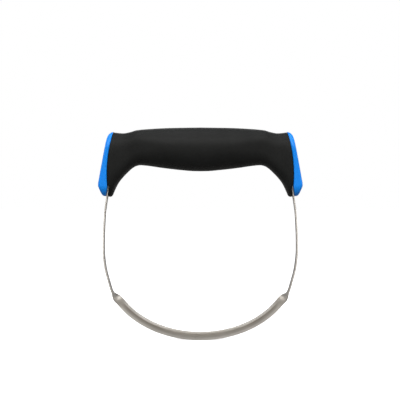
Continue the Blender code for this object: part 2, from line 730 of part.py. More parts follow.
# ---- end caps ----------------------------------------------------------------------------
# outer contour in the front view (Z, X), a wedge that is thick at the bottom
CAP_OUTER = [(88.95, 59.3), (89.3, 60.1), (90.6, 61.1), (92.4, 61.95), (94.3, 62.75),
             (95.5, 63.1), (96.8, 63.05), (99.4, 62.6), (111.4, 60.45), (121.4, 58.5),
             (124.6, 57.7), (126.4, 57.0), (127.6, 56.05), (128.3, 55.1), (128.6, 54.35)]
CAP_BOTTOM_Z = CAP_OUTER[0][0]
CAP_TOP_Z = CAP_OUTER[-1][0]
CAP_HALF_DEPTH = 15.0
CAP_TOP_CORNER = 10.0
CAP_BOTTOM_CORNER = 6.5
CAP_EDGE = 1.6              # radius of the outer edge
CAP_EDGE_SHARE = 0.7        # the radius is at most this share of the cap's thickness
CAP_EDGE_STEPS = 3
CAP_ROWS = 12
CAP_CORNER_ROWS = 6
CAP_MIN_ROW = 0.25          # rows closer than this are dropped
ARM_SLOPE_FACTOR = 1.012    # thickness of the sloping arm measured along X
RELIEF_START = -1.5
RELIEF_GAP_OUT = 0.3
RELIEF_GAP_RADIAL = 0.35
RELIEF_SEGMENTS = 20
PRONG_ROOT = 1.2            # the prong starts this far outside the end face
# prong's outer side (X from the tip, Y beyond the bar): nose and barb
PRONG_BARB = [(1.6, 0.25), (3.0, 0.25), (3.4, 0.0)]


def cap_heights():
    """Heights of the cap's rows: even ones, the contour's own, and more at the corners."""
    heights = {z for z, _ in CAP_OUTER} | {RIM_Z}
    for k in range(CAP_ROWS + 1):
        heights.add(round(CAP_BOTTOM_Z + (CAP_TOP_Z - CAP_BOTTOM_Z) * k / CAP_ROWS, 4))
    for k in range(1, CAP_CORNER_ROWS + 1):
        rise = 1 - math.cos(math.pi / 2 * k / CAP_CORNER_ROWS)
        heights.add(round(CAP_TOP_Z - CAP_TOP_CORNER * rise, 4))
        heights.add(round(CAP_BOTTOM_Z + CAP_BOTTOM_CORNER * rise, 4))
    kept = []
    for z in sorted(heights):
        if not kept or z - kept[-1] > CAP_MIN_ROW or z == CAP_TOP_Z:
            kept.append(z)
    return kept


def cap_inner(z, arm_x):
    """X of the inner face: on the end face above the rim, along the bare arm below."""
    if z >= RIM_Z:
        return end_x(z) + GAP / 2
    along_arm = arm_x(z) + BAND_THICKNESS / 2 * ARM_SLOPE_FACTOR + GAP
    return max(along_arm, end_x(RIM_Z) + GAP / 2)


def cap_body(name, side, material):
    outer_curve = monotone(CAP_OUTER)
    arm_x = arm_x_curve(3)
    rings = []
    for z in cap_heights():
        half_depth = (CAP_HALF_DEPTH - corner_setback(CAP_TOP_CORNER, CAP_TOP_Z - z)
                      - corner_setback(CAP_BOTTOM_CORNER, z - CAP_BOTTOM_Z))
        inner, outer = cap_inner(z, arm_x), outer_curve(z)
        radius = min(CAP_EDGE, CAP_EDGE_SHARE * (outer - inner))
        edge = []
        for k in range(CAP_EDGE_STEPS + 1):
            angle = math.pi / 2 * k / CAP_EDGE_STEPS
            edge.append((outer - radius + radius * math.sin(angle),
                         half_depth - radius + radius * math.cos(angle)))
        outline = [(inner, -half_depth), (inner, half_depth)] + edge
        outline += [(x, -y) for x, y in edge[::-1]]
        rings.append([(side * x, y, z) for x, y in outline])
    return loft(name, rings, material)


def prong(side, y_side):
    """Snap prong: a bar with a small barb on the side away from Y = 0, along X."""
    root = end_x(PRONG_Z) + PRONG_ROOT
    tip = end_x(PRONG_Z) - PRONG_REACH
    near, far = PRONG_Y - PRONG_W / 2, PRONG_Y + PRONG_W / 2
    outline = [(root, near), (tip, near), (tip, PRONG_Y)]
    outline += [(tip + along, far + beyond) for along, beyond in PRONG_BARB]
    outline.append((root, far))
    return loft("prong", [[(side * x, y_side * y, z) for x, y in outline]
                          for z in (PRONG_Z - PRONG_H / 2, PRONG_Z + PRONG_H / 2)])


def end_cap(name, side, material):
    """Cap with relief for the screw heads and two snap prongs."""
    cap = cap_body(name, side, material)
    for z in SCREW_Z.values():
        boolean(cap, cylinder("relief", z, side, RELIEF_START,
                              SCREW_HEAD_BASE + SCREW_HEAD_H + RELIEF_GAP_OUT,
                              SCREW_HEAD_R + RELIEF_GAP_RADIAL, RELIEF_SEGMENTS))
    for y_side in (-1, 1):
        boolean(cap, prong(side, y_side), 'UNION')
    smooth(cap, 30)


# ---- build -------------------------------------------------------------------------------
def build():
    for ob in list(bpy.data.objects):
        bpy.data.objects.remove(ob)

    handle_core(grey_core_plastic())
    soft_grip(black_soft_plastic())
    blade_band(stainless_steel())
    blue, zinc = blue_plastic(), zinc_plated_steel()
    for side_name, side in SIDES.items():
        end_cap(side_name + "_end_cap", side, blue)
        for level, z in SCREW_Z.items():
            screw(f"{side_name}_{level}_band_screw", z, side, zinc)


build()
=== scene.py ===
# Pastry blender: a wide handle (soft sleeve, two blue end caps) over one stainless band whose
# middle is slit into five curved blades.  X runs along the handle, Y across the blades with the
# front at -Y, Z is up; the lowest point of the blades is near z = 0 and x = 0.
# Pieces are measured in mm and scaled to metres when a mesh is made; the stage is in metres.
# The sleeve, band and caps are built here.  The core and screws keep their solids and get
# materials only.
import math

import bmesh
import bpy
import numpy as np
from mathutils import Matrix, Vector


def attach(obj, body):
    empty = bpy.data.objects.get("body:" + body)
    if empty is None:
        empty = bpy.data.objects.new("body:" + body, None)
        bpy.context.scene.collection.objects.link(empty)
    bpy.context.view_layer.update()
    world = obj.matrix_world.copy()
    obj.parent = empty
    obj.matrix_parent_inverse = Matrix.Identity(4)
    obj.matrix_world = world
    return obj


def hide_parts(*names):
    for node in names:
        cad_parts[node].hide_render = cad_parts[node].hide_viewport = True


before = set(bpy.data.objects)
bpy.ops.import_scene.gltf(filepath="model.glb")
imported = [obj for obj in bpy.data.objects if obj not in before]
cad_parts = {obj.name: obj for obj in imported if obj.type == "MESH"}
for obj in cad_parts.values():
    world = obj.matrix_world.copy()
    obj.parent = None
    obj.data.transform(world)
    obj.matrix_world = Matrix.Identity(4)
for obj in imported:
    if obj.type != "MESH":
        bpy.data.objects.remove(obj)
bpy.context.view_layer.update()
for loaded in bpy.context.selected_objects:
    loaded.select_set(False)

MM = 0.001
GAP = 0.30                  # clearance between neighbouring pieces

# ---- band dimensions ---------------------------------------------------------------------
BLADE_COUNT = 5
BLADE_WIDTH = 4.35
BAND_THICKNESS = 0.80
BAND_WIDTH_FOOT = 29.0      # across the blades
BAND_WIDTH_TOP = 20.0       # under the caps
BAND_EDGE_ROUND = 0.26
# right arm's centre-line from the blades up to the handle (X, Z)
ARM_LINE = [(49.6, 23.85), (52.3, 26.3), (54.2, 28.9), (55.2, 31.5), (56.7, 36.8),
            (58.0, 41.2), (59.2, 47.8), (59.85, 55.4), (59.8, 63.0), (59.45, 71.5),
            (58.95, 79.5), (58.3, 84.5), (57.35, 90.6), (56.75, 94.8)]
ARM_TOP = (56.55, 96.4)     # (X, Z) behind the rim, ends the seats that follow the arm
BLADE_ARC_A = 57.5          # half-axes of the elliptical arc that the blades follow
BLADE_ARC_B = 43.8
BLADE_ARC_END = ARM_LINE[0][0]
TWIST_START = (54.9, 30.6)  # strips are still flat here (X, Z)
TWIST_END = (49.5, 23.7)    # strips stand on edge from here on
TAPER_START = 26.0          # length from the tab's top where the band starts to widen
TAB_TOP_Z = 120.4
TAB_CORNER = 4.0

# ---- end faces of the handle: nearly part of a cylinder whose axis is parallel to Y ------
END_X = 57.55               # outermost X of the face
END_Z = 102.1               # height of that point
END_RADIUS = 89.3
RIM_Z = 95.3                # the sleeve's rim ends here, the arm is bare below

# ---- sleeve and hollow dimensions --------------------------------------------------------
# contours (X, Z) and half depth (X, Y)
GRIP_TOP = [(0.0, 131.5), (18.6, 131.2), (30.5, 130.6), (39.5, 129.75), (43.8, 128.5),
            (47.8, 127.85), (53.8, 128.4)]
GRIP_BOTTOM = [(0.0, 104.35), (4.0, 104.42), (12.4, 105.1), (24.0, 106.45), (33.5, 107.8),
               (37.3, 108.1), (39.9, 107.5), (42.4, 106.0), (45.2, 103.4), (47.9, 100.6),
               (50.5, 97.3), (52.4, 93.8), (53.7, 90.8), (54.5, 89.1), (55.5, 88.45),
               (57.0, 88.7)]
GRIP_HALF_DEPTH = [(0.0, 14.6), (40.0, 14.1), (47.0, 14.0), (53.7, 14.75), (60.0, 14.8)]
GRIP_STATIONS = 64          # in each half
GRIP_RING_POINTS = 88
BELLY_SHARE = 0.60          # share of the stations that stand upright over the belly
BELLY_END_X = 36.0
TOP_SPREAD_POWER = 0.9      # spacing of the top points beyond the belly
BULGE_POWER = 1.6           # how late the stations take on the end curve
# exponent of the superelliptical sections, and the X range where it changes
SECTION_POWER_MIDDLE = 2.35
SECTION_POWER_END = 3.8
SECTION_CHANGE_X = 18.0
SECTION_CHANGE_SPAN = 34.0
SECTION_BULGE_SHIFT = 3.0   # a bulging station takes its exponent from further out

HOLLOW_TOP = GRIP_TOP + [(60.0, 128.7)]
HOLLOW_BOTTOM = [(0.0, 107.1), (24.0, 109.3), (35.0, 110.7), (40.0, 110.3), (45.0, 107.2),
                 (50.0, 102.5), (53.5, 99.0), (57.0, 96.7), (61.0, 94.4)]
CORE_TOP_WALL = 2.6
CORE_DEPTH_WALL = 2.6
HOLLOW_STATIONS = 24        # in each half
HOLLOW_RING_POINTS = 40
HOLLOW_BULGE_START = 0.45   # share of the half length where the end curve begins to show
HOLLOW_OVERRUN = 6.0        # past the sleeve's open ends

SEAT_OUTER_X = 66.0         # the seat cutters run out to here, clear of the sleeve
TAB_SEAT_TOP_GAP = 0.8
TAB_SEAT_SIDE_GAP = 0.35
TAB_SEAT_BELOW_RIM = 1.5
ARM_SEAT_BOTTOM_Z = 82.0
ARM_SEAT_HALF_WIDTH = 20.0

# ---- screws and end caps -----------------------------------------------------------------
SCREW_HEIGHTS = (116.0, 106.8)
SCREW_THREAD_R = 1.45
SCREW_HEAD_R = 2.8
SCREW_HEAD_H = 1.8
CYLINDER_SEGMENTS = 32

# outer contour in the front view (Z, X), a wedge that is thick at the bottom
CAP_OUTER = [(88.95, 59.3), (89.3, 60.1), (90.6, 61.1), (92.4, 61.95), (94.3, 62.75),
             (95.5, 63.1), (96.8, 63.05), (99.4, 62.6), (111.4, 60.45), (121.4, 58.5),
             (124.6, 57.7), (126.4, 57.0), (127.6, 56.05), (128.3, 55.1), (128.6, 54.35)]
CAP_BOTTOM_Z = CAP_OUTER[0][0]
CAP_TOP_Z = CAP_OUTER[-1][0]
CAP_HALF_DEPTH = 15.0
CAP_TOP_CORNER = 10.0
CAP_BOTTOM_CORNER = 6.5
CAP_EDGE = 1.6              # rounding of the outer edge
CAP_INNER_ROUND = 0.9       # rounding of the inner edge
CAP_ARM_SLANT = 1.012       # the leaning arm is this much thicker when measured along X
CAP_ROWS = 60
CAP_CORNER_ROWS = 6         # rows that follow each rounded corner
CAP_MIN_ROW = 0.25          # rows closer than this are merged
CAP_EDGE_STEPS = 8
CAP_INNER_STEPS = 4

# snap prongs on the caps and the windows for them in the band's tabs
PRONG_Y = 6.15
PRONG_Z = 111.4
PRONG_W = 2.4
PRONG_H = 4.2
PRONG_REACH = 8.0
PRONG_ROOT = 1.2            # how far it starts outside the end face
BARB_HEIGHT = 0.25
BARB_PEAK = (1.6, 3.0)      # flat of the barb, from the tip
BARB_END = 3.4
WINDOW_SIDE_GAP = 0.55
WINDOW_HEIGHT_GAP = 0.9
WINDOW_SHIFT = 0.1          # outward in Y


# ---- curves ------------------------------------------------------------------------------
def monotone(points):
    """Smooth curve through (x, y) points without overshoot."""
    xs = np.array([p[0] for p in points], float)
    ys = np.array([p[1] for p in points], float)
    step = np.diff(xs)
    rise = np.diff(ys) / step
    slope = np.zeros(len(xs))
    slope[0], slope[-1] = rise[0], rise[-1]
    for i in range(1, len(xs) - 1):
        if rise[i - 1] * rise[i] > 0:
            w1 = 2 * step[i] + step[i - 1]
            w2 = step[i] + 2 * step[i - 1]
            slope[i] = (w1 + w2) / (w1 / rise[i - 1] + w2 / rise[i])

    def curve(x):
        x = min(max(x, xs[0]), xs[-1])
        i = int(min(max(np.searchsorted(xs, x) - 1, 0), len(step) - 1))
        t = (x - xs[i]) / step[i]
        return ((1 + 2 * t) * (1 - t) ** 2 * ys[i] + t * (1 - t) ** 2 * step[i] * slope[i]
                + t * t * (3 - 2 * t) * ys[i + 1] + t * t * (t - 1) * step[i] * slope[i + 1])
    return curve


def running_length(points):
    return np.concatenate([[0.0], np.cumsum(np.hypot(*np.diff(points, axis=0).T))])


def path(points):
    """Smooth plane curve through points, as a function of length along them, and its length."""
    points = np.array(points, float)
    lengths = running_length(points)
    x_at = monotone(list(zip(lengths, points[:, 0])))
    z_at = monotone(list(zip(lengths, points[:, 1])))
    return (lambda s: (x_at(s), z_at(s))), lengths[-1]


def smooth_step(t):
    t = min(max(t, 0.0), 1.0)
    return t * t * (3 - 2 * t)


def corner_inset(radius, distance):
    """How far a rounded corner draws the side in, at a distance from the end."""
    if distance >= radius:
        return 0.0
    return radius - math.sqrt(max(radius ** 2 - (radius - distance) ** 2, 0))


def end_x(z):
    """X of the handle's end face at height z."""
    return END_X - (z - END_Z) ** 2 / (2 * END_RADIUS)


def end_normal(z):
    """Outward normal (X, Z) of the right end face."""
    slope = -(z - END_Z) / END_RADIUS
    length = math.hypot(1.0, slope)
    return 1.0 / length, -slope / length


def arm_curve(count):
    """X over Z along the top of the arm, through its last points."""
    return monotone([(z, x) for x, z in ARM_LINE[-count:] + [ARM_TOP]])


# ---- meshes ------------------------------------------------------------------------------
def mesh_object(name, verts, faces):
    """Object from points in mm, with all normals facing out."""
    mesh = bpy.data.meshes.new(name)
    mesh.from_pydata([tuple(MM * c for c in v) for v in verts], [], faces)
    mesh.validate()
    ob = bpy.data.objects.new(name, mesh)
    bpy.context.scene.collection.objects.link(ob)
    bm = bmesh.new()
    bm.from_mesh(mesh)
    bmesh.ops.recalc_face_normals(bm, faces=bm.faces)
    bm.to_mesh(mesh)
    bm.free()
    return ob


def loft(name, rings, strips=False):
    """Closed solid through rings that have the same number of points.  With strips, each end
    is closed by bands across Y between the two points at equal height."""
    n = len(rings[0])
    verts = [p for ring in rings for p in ring]
    faces = []
    for k in range(len(rings) - 1):
        for i in range(n):
            j = (i + 1) % n
            faces.append((k * n + i, k * n + j, (k + 1) * n + j, (k + 1) * n + i))
    last = (len(rings) - 1) * n
    if strips:
        for i in range(n // 2):
            a, b, c, d = i, i + 1, (n - i - 1) % n, (n - i) % n
            face = [a, b, c, d] if i else [a, b, c]
            if b == c:
                face = [a, b, d]
            faces.append(tuple(face[::-1]))
            faces.append(tuple(last + f for f in face))
    else:
        faces.append(tuple(range(n))[::-1])
        faces.append(tuple(last + i for i in range(n)))
    return mesh_object(name, verts, faces)


def apply_modifiers(ob):
    bpy.context.view_layer.update()
    deps = bpy.context.evaluated_depsgraph_get()
    mesh = bpy.data.meshes.new_from_object(ob.evaluated_get(deps))
    ob.modifiers.clear()
    old = ob.data
    ob.data = mesh
    bpy.data.meshes.remove(old)


def boolean(ob, tool, operation='DIFFERENCE'):
    """Apply one exact boolean and remove the tool object."""
    mod = ob.modifiers.new(operation.lower(), 'BOOLEAN')
    mod.object = tool
    mod.operation = operation
    mod.solver = 'EXACT'
    cut_name = ob.data.name + "_cut"
    apply_modifiers(ob)
    ob.data.name = cut_name
    bpy.data.objects.remove(tool)


def round_edges(ob, width, segments, angle):
    mod = ob.modifiers.new("edge", 'BEVEL')
    mod.width = width * MM
    mod.segments = segments
    mod.limit_method = 'ANGLE'
    mod.angle_limit = math.radians(angle)
    mod.use_clamp_overlap = True
    apply_modifiers(ob)


def plug(name, z, side, depths, outline, y=0.0):
    """Prism along the end face's normal at height z.  Depths are measured outward from the
    tab's outer face; the outline is (across, up)."""
    nx, nz = end_normal(z)
    px, pz = end_x(z) - GAP / 2 * nx, z - GAP / 2 * nz
    return loft(name, [[(side * (px + d * nx - v * nz), y + u, pz + d * nz + v * nx)
                        for u, v in outline] for d in depths])


def circle(radius):
    angles = [2 * math.pi * (i + 0.5) / CYLINDER_SEGMENTS for i in range(CYLINDER_SEGMENTS)]
    return [(radius * math.cos(a), radius * math.sin(a)) for a in angles]


def rectangle(half_width, half_height):
    return [(-half_width, -half_height), (half_width, -half_height),
            (half_width, half_height), (-half_width, half_height)]


# ---- sleeve ------------------------------------------------------------------------------
def section_power(x):
    return SECTION_POWER_MIDDLE + (SECTION_POWER_END - SECTION_POWER_MIDDLE) * smooth_step(
        (abs(x) - SECTION_CHANGE_X) / SECTION_CHANGE_SPAN)


def super_ring(count, power):
    """Unit superellipse: (depth, height) pairs, starting at the top."""
    ring = []
    for i in range(count):
        a = 2 * math.pi * i / count
        c, s = math.sin(a), math.cos(a)
        ring.append((math.copysign(abs(c) ** (2 / power), c),
                     math.copysign(abs(s) ** (2 / power), s)))
    return ring


def grip_end(z):
    """End curve of the sleeve, and of its leg below the rim."""
    if z >= RIM_Z:
        return end_x(z) - GAP / 2
    foot_x, foot_z = GRIP_BOTTOM[-1]
    t = (RIM_Z - z) / (RIM_Z - foot_z)
    return (end_x(RIM_Z) - GAP / 2) * (1 - t) + foot_x * t


def grip_ring(side, top, bottom, bulge, depth, power):
    """One closed ring between a top and a bottom point; bulge 1 follows the end curve."""
    ring = []
    end_top, end_bottom = grip_end(top[1]), grip_end(bottom[1])
    for across, up in super_ring(GRIP_RING_POINTS, power):
        v = (1 - up) / 2
        z = top[1] + (bottom[1] - top[1]) * v
        x = top[0] + (bottom[0] - top[0]) * v
        x += bulge * (grip_end(z) - (end_top + (end_bottom - end_top) * v))
        ring.append((side * x, across * depth, z))
    return ring


def grip_outer():
    top_z = monotone(GRIP_TOP)
    half_depth = monotone(GRIP_HALF_DEPTH)
    bottom_at, bottom_length = path(GRIP_BOTTOM)
    belly_length = next(s for s in np.linspace(0, bottom_length, 2000)
                        if bottom_at(s)[0] > BELLY_END_X)
    belly_x = bottom_at(belly_length)[0]
    top_end = GRIP_TOP[-1][0]
    half = []
    for k in range(GRIP_STATIONS + 1):
        share = k / GRIP_STATIONS
        if share <= BELLY_SHARE:
            bottom = bottom_at(belly_length * (share / BELLY_SHARE))
            x = bottom[0]
            bulge = 0.0
        else:
            t = (share - BELLY_SHARE) / (1 - BELLY_SHARE)
            bottom = bottom_at(belly_length + (bottom_length - belly_length) * t)
            x = belly_x + (top_end - GAP / 2 - belly_x) * t ** TOP_SPREAD_POWER
            bulge = t ** BULGE_POWER
        top = (x, top_z(min(x, top_end)))
        power = section_power(x + SECTION_BULGE_SHIFT * bulge)
        half.append((top, bottom, bulge, half_depth(x), power))
    rings = [grip_ring(-1, *station) for station in half[::-1]]
    rings += [grip_ring(1, *station) for station in half[1:]]
    return loft("sleeve", rings, strips=True)


def hollow():
    """Room for the core with clearance, run on through the sleeve's open ends."""
    top_z = monotone(HOLLOW_TOP)
    bottom_z = monotone(HOLLOW_BOTTOM)
    half_depth = monotone(GRIP_HALF_DEPTH)
    end_offset = -(GAP / 2 + BAND_THICKNESS + GAP)
    rings = []
    for k in range(-HOLLOW_STATIONS, HOLLOW_STATIONS + 1):
        u = abs(k) / HOLLOW_STATIONS
        side = -1 if k < 0 else 1
        # upright stations in the middle, the end stations follow the end curve
        bulge = smooth_step((u - HOLLOW_BULGE_START) / (1 - HOLLOW_BULGE_START))
        x_mid = u * (END_X - 1.0)
        top_mid = top_z(x_mid) - CORE_TOP_WALL
        bottom_mid = bottom_z(x_mid)
        ring = []
        for across, up in super_ring(HOLLOW_RING_POINTS, section_power(x_mid)):
            x_end = end_x((top_mid + bottom_mid) / 2
                          + (top_mid - bottom_mid) / 2 * up) + end_offset
            x = u * ((1 - bulge) * (END_X + end_offset) + bulge * x_end)
            # heights follow the contours at the point's own x
            top = top_z(x) - CORE_TOP_WALL + GAP
            bottom = bottom_z(x) - GAP
            z = (top + bottom) / 2 + (top - bottom) / 2 * up
            y = across * (half_depth(x) - CORE_DEPTH_WALL + GAP)
            ring.append((side * x, y, z))
        rings.append(ring)
    rings.insert(0, [(x - HOLLOW_OVERRUN, y, z) for x, y, z in rings[0]])
    rings.append([(x + HOLLOW_OVERRUN, y, z) for x, y, z in rings[-1]])
    return loft("hollow", rings, strips=True)


def seat_cutter(name, side, inner_x, z_top, z_bottom, steps, half_width):
    """Prism along Y, from an inner curve X over Z out past the sleeve."""
    outline = [(inner_x(z), z) for z in np.linspace(z_top, z_bottom, steps)]
    outline += [(SEAT_OUTER_X, z_bottom), (SEAT_OUTER_X, z_top)]
    return loft(name, [[(side * x, y, z) for x, z in outline]
                       for y in (-half_width, half_width)])


def sleeve():
    ob = grip_outer()
    boolean(ob, hollow())
    seat_depth = GAP / 2 + BAND_THICKNESS + GAP
    arm_x = arm_curve(4)
    for side in (-1, 1):
        boolean(ob, seat_cutter("tab_seat", side, lambda z: end_x(z) - seat_depth,
                                z_top=TAB_TOP_Z + TAB_SEAT_TOP_GAP,
                                z_bottom=RIM_Z - TAB_SEAT_BELOW_RIM, steps=24,
                                half_width=BAND_WIDTH_TOP / 2 + TAB_SEAT_SIDE_GAP))
        boolean(ob, seat_cutter("arm_seat", side,
                                lambda z: arm_x(z) - BAND_THICKNESS / 2 - GAP,
                                z_top=RIM_Z, z_bottom=ARM_SEAT_BOTTOM_Z, steps=20,
                                half_width=ARM_SEAT_HALF_WIDTH))
    return ob


# ---- band --------------------------------------------------------------------------------
def band_centre():
    """Right half of the band's centre-line, from the tab's top to the bottom centre."""
    points = []
    depth = GAP / 2 + BAND_THICKNESS / 2
    for z in np.linspace(TAB_TOP_Z, RIM_Z + 1.0, 13):
        nx, nz = end_normal(z)
        points.append((end_x(z) - depth * nx, z - depth * nz))
    arm_at, arm_length = path(ARM_LINE[::-1])
    arm_steps = 60
    for k in range(1, arm_steps + 1):
        points.append(arm_at(arm_length * k / arm_steps))
    arc_steps = 48
    arc_angle = math.asin(BLADE_ARC_END / BLADE_ARC_A)
    for k in range(1, arc_steps + 1):
        a = arc_angle * (1 - k / arc_steps)
        points.append((BLADE_ARC_A * math.sin(a),
                       BLADE_WIDTH / 2 + BLADE_ARC_B * (1 - math.cos(a))))
    return np.array(points)


class Track:
    """Centre-line with position and direction at any length along it."""

    def __init__(self, points):
        # three light smoothing passes keep the bends soft
        points = points.copy()
        for _ in range(3):
            points[1:-1] = 0.25 * points[:-2] + 0.5 * points[1:-1] + 0.25 * points[2:]
        self.points = points
        self.lengths = running_length(points)
        self.length = self.lengths[-1]

    def at(self, s):
        return (float(np.interp(s, self.lengths, self.points[:, 0])),
                float(np.interp(s, self.lengths, self.points[:, 1])))

    def tangent(self, s):
        if s > self.length - 0.4:       # level at the bottom centre
            return -1.0, 0.0
        a = self.at(max(s - 0.35, 0.0))
        b = self.at(min(s + 0.35, self.length))
        dx, dz = b[0] - a[0], b[1] - a[1]
        length = math.hypot(dx, dz)
        return dx / length, dz / length

    def station(self, s):
        """Position (x, z) and outward normal (x, z)."""
        tx, tz = self.tangent(s)
        return (*self.at(s), -tz, tx)

    def nearest(self, point):
        distance = np.hypot(self.points[:, 0] - point[0], self.points[:, 1] - point[1])
        return float(self.lengths[int(np.argmin(distance))])


TRACK = Track(band_centre())
TWIST_FROM = TRACK.nearest(TWIST_START)
TWIST_TO = TRACK.nearest(TWIST_END)
ARM_BEND = TRACK.nearest(ARM_LINE[-1])              # where the arm leaves the handle
BLADE_PITCH = (BAND_WIDTH_FOOT - BLADE_WIDTH) / (BLADE_COUNT - 1)
SLOT_RADIUS = (BLADE_PITCH - BLADE_WIDTH) / 2       # round end of each slot
SLOT_FILL = 0.88 * SLOT_RADIUS                      # the slots start nearly closed


def blade_y(i):
    return (i - (BLADE_COUNT - 1) / 2) * BLADE_PITCH


def arm_columns(s):
    """Y of the strip edges at this length, in order; the outer two are the band's edges."""
    t = smooth_step((s - TAPER_START) / (TWIST_FROM - TAPER_START))
    k = (BAND_WIDTH_TOP + (BAND_WIDTH_FOOT - BAND_WIDTH_TOP) * t) / BAND_WIDTH_FOOT
    columns = []
    for i in range(BLADE_COUNT):
        y = blade_y(i)
        columns += [(y - BLADE_WIDTH / 2 - (SLOT_FILL if i > 0 else 0.0)) * k,
                    (y + BLADE_WIDTH / 2 + (SLOT_FILL if i < BLADE_COUNT - 1 else 0.0)) * k]
    if s < TAB_CORNER:
        edge = columns[-1] - corner_inset(TAB_CORNER, s)
        columns = [y * edge / columns[-1] for y in columns]
    return columns


def add_arm(side, verts, faces):
    """Flat part of one arm.  Returns its last row of (outer, inner) vertex numbers."""
    stops = [0.0, 0.35, 0.9, 1.7, 2.7]              # round the tab's corners
    stops += list(np.linspace(TAB_CORNER, ARM_BEND - 3.0, 6))
    stops += list(np.linspace(ARM_BEND - 1.8, ARM_BEND + 3.0, 6))
    stops += list(np.linspace(ARM_BEND + 5.0, TWIST_FROM, 60))
    half = BAND_THICKNESS / 2
    rows = []
    for s in stops:
        x, z, nx, nz = TRACK.station(s)
        row = []
        for y in arm_columns(s):
            row.append((len(verts), len(verts) + 1))
            verts.append((side * (x + nx * half), y, z + nz * half))
            verts.append((side * (x - nx * half), y, z - nz * half))
        rows.append(row)
    n = len(rows[0])
    for a, b in zip(rows[:-1], rows[1:]):
        for j in range(n - 1):
            faces.append((a[j][0], a[j + 1][0], b[j + 1][0], b[j][0]))
            faces.append((a[j][1], b[j][1], b[j + 1][1], a[j + 1][1]))
        faces.append((a[0][0], b[0][0], b[0][1], a[0][1]))
        faces.append((a[-1][0], a[-1][1], b[-1][1], b[-1][0]))
    top, foot = rows[0], rows[-1]
    for j in range(n - 1):
        faces.append((top[j][0], top[j][1], top[j + 1][1], top[j + 1][0]))
    for j in range(1, n - 1, 2):                    # ends of the slots between the strips
        faces.append((foot[j][0], foot[j + 1][0], foot[j + 1][1], foot[j][1]))
    return foot


def strip_section(side, i, s):
    """Four corners of strip i at this length: flat at the foot, on edge along the blades."""
    x, z, nx, nz = TRACK.station(s)
    angle = math.pi / 2 * smooth_step(
        (s - TWIST_FROM - SLOT_RADIUS) / (TWIST_TO - TWIST_FROM - SLOT_RADIUS))
    ca, sa = math.cos(angle), math.sin(angle)
    # the width direction turns from Y to the in-plane normal
    wide = (-sa * nx, ca, -sa * nz)
    thin = (ca * nx, sa, ca * nz)
    flare = min(corner_inset(SLOT_RADIUS, s - TWIST_FROM), SLOT_FILL)
    corners = []
    for u, v in ((-1, 1), (1, 1), (1, -1), (-1, -1)):
        free = (i == 0 and u < 0) or (i == BLADE_COUNT - 1 and u > 0)
        half = BLADE_WIDTH / 2 + (0.0 if free else flare)
        p = [u * half * wide[c] + v * BAND_THICKNESS / 2 * thin[c] for c in range(3)]
        corners.append((side * (x + p[0]), blade_y(i) + p[1], z + p[2]))
    return corners


def add_strips(side, foot, centre, verts, faces):
    """Strips from the arm's foot to the bottom centre, ending on the centre sections if these
    are given.  Returns the last section of each strip."""
    stops = [TWIST_FROM + SLOT_RADIUS * (1 - math.cos(math.pi / 2 * k / 3)) for k in (1, 2, 3)]
    stops += list(np.linspace(TWIST_FROM + SLOT_RADIUS, TWIST_TO, 19)[1:])
    stops += list(np.linspace(TWIST_TO, TRACK.length, 61)[1:])
    sections = []
    for i in range(BLADE_COUNT):
        a, b = foot[2 * i], foot[2 * i + 1]
        sections.append([a[0], b[0], b[1], a[1]])
    for k, s in enumerate(stops):
        for i in range(BLADE_COUNT):
            if centre and k == len(stops) - 1:
                new = centre[i]
            else:
                new = list(range(len(verts), len(verts) + 4))
                verts.extend(strip_section(side, i, s))
            old = sections[i]
            for e in range(4):
                f = (e + 1) % 4
                faces.append((old[e], old[f], new[f], new[e]))
            sections[i] = new
    return sections


def add_grain(ob):
    """Point attribute (length from the bottom centre, across, outward), in metres, for the
    brushed grain and for placing the painted shade and painted highlights on the band."""
    mesh = ob.data
    count = len(mesh.vertices)
    co = np.empty(count * 3)
    mesh.vertices.foreach_get("co", co)
    co = co.reshape(-1, 3) / MM
    lengths = np.linspace(0, TRACK.length, 1600)
    px = np.interp(lengths, TRACK.lengths, TRACK.points[:, 0])
    pz = np.interp(lengths, TRACK.lengths, TRACK.points[:, 1])
    grain = np.empty((count, 3))
    chunk = 2000                                    # keeps the distance table small
    for i in range(0, count, chunk):
        x, y, z = co[i:i + chunk].T
        k = ((np.abs(x)[:, None] - px[None]) ** 2 + (z[:, None] - pz[None]) ** 2).argmin(1)
        j = np.clip(k, 1, len(px) - 2)
        tx, tz = px[j + 1] - px[j - 1], pz[j + 1] - pz[j - 1]
        length = np.hypot(tx, tz)
        nx, nz = -tz / length, tx / length
        side = np.where(x < 0, -1.0, 1.0)
        grain[i:i + chunk, 0] = (TRACK.length - lengths[k]) * side * MM
        grain[i:i + chunk, 1] = y * MM
        grain[i:i + chunk, 2] = ((np.abs(x) - px[k]) * nx + (z - pz[k]) * nz) * MM
    attribute = mesh.attributes.new("grain", 'FLOAT_VECTOR', 'POINT')
    attribute.data.foreach_set("vector", grain.astype(np.float32).ravel())


def band():
    verts, faces = [], []
    centre = None                                   # both halves share the middle sections
    for side in (-1, 1):
        foot = add_arm(side, verts, faces)
        centre = add_strips(side, foot, centre, verts, faces)
    ob = mesh_object("band", verts, faces)
    through = (-3.0, 2.0)                           # depths that clear the tab on both faces
    for side in (-1, 1):
        for z in SCREW_HEIGHTS:
            boolean(ob, plug("hole", z, side, through, circle(SCREW_THREAD_R + GAP)))
        for y_side in (-1, 1):
            outline = rectangle(PRONG_W / 2 + WINDOW_SIDE_GAP, PRONG_H / 2 + WINDOW_HEIGHT_GAP)
            boolean(ob, plug("window", PRONG_Z, side, through, outline,
                             y=y_side * (PRONG_Y + WINDOW_SHIFT)))
    round_edges(ob, width=BAND_EDGE_ROUND, segments=4, angle=50)
    add_grain(ob)
    return ob


